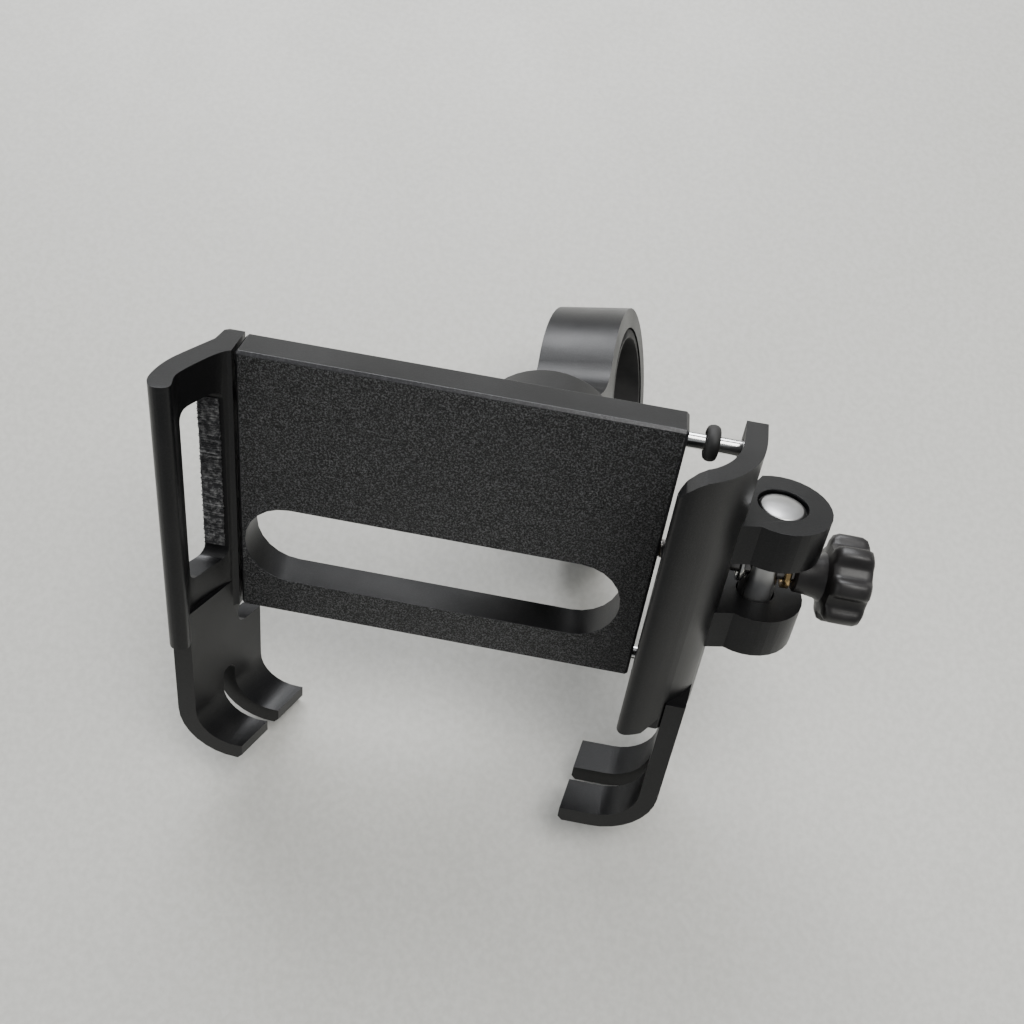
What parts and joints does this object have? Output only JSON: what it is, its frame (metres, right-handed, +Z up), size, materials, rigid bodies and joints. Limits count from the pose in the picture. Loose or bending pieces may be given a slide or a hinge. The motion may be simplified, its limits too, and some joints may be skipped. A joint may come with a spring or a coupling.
{
  "type": "phone handlebar mount",
  "caption": "Handlebar phone mount: slotted plate with a fixed and a screw-driven jaw, curled lower hooks, a ball joint behind and a split bar clamp",
  "frame": {"origin": "on the surface it rests on, under the middle of the object", "axes": "+X runs from the fixed jaw to the knob, +Y from the phone towards the handlebar, +Z up; the holder leans back 33.15 degrees about X and the part rests on its two hooks and its clamp ring"},
  "size_m": [0.0962, 0.0846, 0.0662],
  "materials": {
    "anodised": "black anodised, bead-blasted",
    "steel": "polished",
    "brass": "turned",
    "rubber": "moulded",
    "knob": "satin black"
  },
  "bodies": {
    "clamp": {"clamp_arm": "anodised", "clamp_bolt": "steel", "bar_liner": "rubber", "ball_stud": "steel"},
    "collar": {"locking_collar": "anodised"},
    "holder": {"socket_cup": "anodised", "base_plate": "anodised", "fixed_jaw": "anodised", "jaw_screw_upper": "steel", "jaw_screw_lower": "steel", "lead_nut": "brass"},
    "jaw": {"moving_jaw": "anodised", "guide_rod_upper": "steel", "guide_rod_lower": "steel", "stop_ring_upper": "rubber", "stop_ring_lower": "rubber", "trunnion_pin": "steel", "pin_clip": "steel"},
    "knob": {"knob": "knob", "lead_screw": "steel", "thrust_washer": "brass", "screw_clip": "steel"}
  },
  "joints": [
    {"name": "ball_tilt", "type": "hinge", "parent": "clamp", "child": "collar", "pos_m": [0.0006, 0.00607, 0.04152], "axis": [-0.8294, -0.3055, -0.4678], "range_deg": [-6, 54]},
    {"name": "holder_spin", "type": "hinge", "parent": "collar", "child": "holder", "pos_m": [0.0006, 0.00607, 0.04152], "axis": [0, 0.8372, -0.5468], "continuous": true},
    {"name": "jaw_slide", "type": "slide", "parent": "holder", "child": "jaw", "axis": [1, 0, 0], "range_m": [-0.0015, 0.02]},
    {"name": "knob_turn", "type": "hinge", "parent": "jaw", "child": "knob", "pos_m": [0.034, -0.00636, 0.04068], "axis": [1, 0, 0], "range_deg": [-545, 7205]}
  ],
  "couplings": [
    {"joint": "knob_turn", "follows": "jaw_slide", "rad_per_m": 6283.2}
  ]
}
